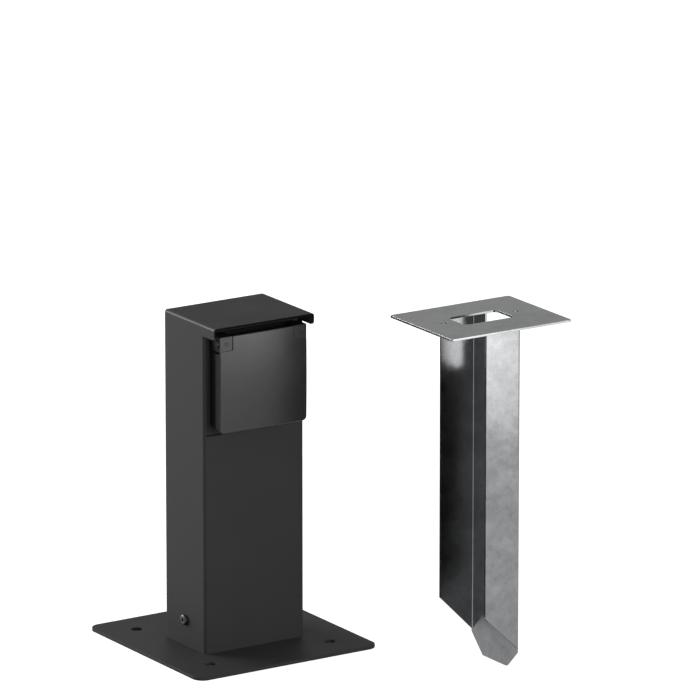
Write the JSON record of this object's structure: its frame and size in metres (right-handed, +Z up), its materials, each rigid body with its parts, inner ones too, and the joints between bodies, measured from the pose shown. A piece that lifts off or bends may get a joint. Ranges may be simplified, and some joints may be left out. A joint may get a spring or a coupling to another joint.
{
  "type": "garden socket post",
  "caption": "Low folded-steel power post on a square base plate, hinged-lid socket under its hood, and a separate ground spike with a cable aperture.",
  "frame": {"origin": "centre of the base plate's underside, on the floor", "axes": "+Z up, -Y is the socket's side, +X is to the right when facing the socket"},
  "size_m": [0.2895, 0.3131, 0.305],
  "materials": {
    "powder_coated_steel": "fine-textured matt powder coat",
    "black_moulded_plastic": "moulded, half gloss",
    "black_rubber": "matt",
    "blackened_steel": "blackened",
    "zinc_plated_steel": "bright zinc plate",
    "spring_steel": "drawn wire",
    "brass": "stamped",
    "spring_bronze": "nickelled bronze strip",
    "pale_thermoset": "moulded",
    "galvanised_steel": "hot-dip galvanised with spangle"
  },
  "bodies": {
    "root": {"base_plate": "powder_coated_steel", "foot_bracket": "powder_coated_steel", "cable_edging": "black_rubber", "weld_nuts": "zinc_plated_steel", "side_screws": "blackened_steel", "earth_stud": "zinc_plated_steel", "earth_washers": "zinc_plated_steel", "earth_nuts": "brass", "post_shell": "powder_coated_steel", "socket_carrier": "powder_coated_steel", "support_ring": "zinc_plated_steel", "ring_screws": "zinc_plated_steel", "frame_gasket": "black_rubber", "socket_frame": "black_moulded_plastic", "socket_face": "black_moulded_plastic", "plug_well": "black_moulded_plastic", "earth_clip": "spring_bronze", "contact_base": "pale_thermoset", "line_contact": "brass", "neutral_contact": "brass", "earth_terminal": "brass", "terminal_screws": "zinc_plated_steel", "centre_screw": "zinc_plated_steel", "shutter_spring": "spring_steel", "hinge_pins": "spring_steel", "lid_springs": "spring_steel", "spike_plate": "galvanised_steel", "spike_channel": "galvanised_steel"},
    "lid": {"lid": "black_moulded_plastic", "lid_seal": "black_rubber"},
    "shutter": {"shutter": "black_moulded_plastic"}
  },
  "joints": [
    {"name": "lid_hinge", "type": "hinge", "parent": "root", "child": "lid", "pos_m": [0, -0.0445, 0.27865], "axis": [-1, 0, 0], "range_deg": [0, 100], "stiffness_Nm_per_rad": 0.02, "springref_deg": -34.38, "deforming": ["lid_springs"]},
    {"name": "shutter_slide", "type": "slide", "parent": "root", "child": "shutter", "axis": [0, 0, 1], "range_m": [0, 0.0065], "stiffness_N_per_m": 40, "springref_m": -0.002, "deforming": ["shutter_spring"]}
  ]
}
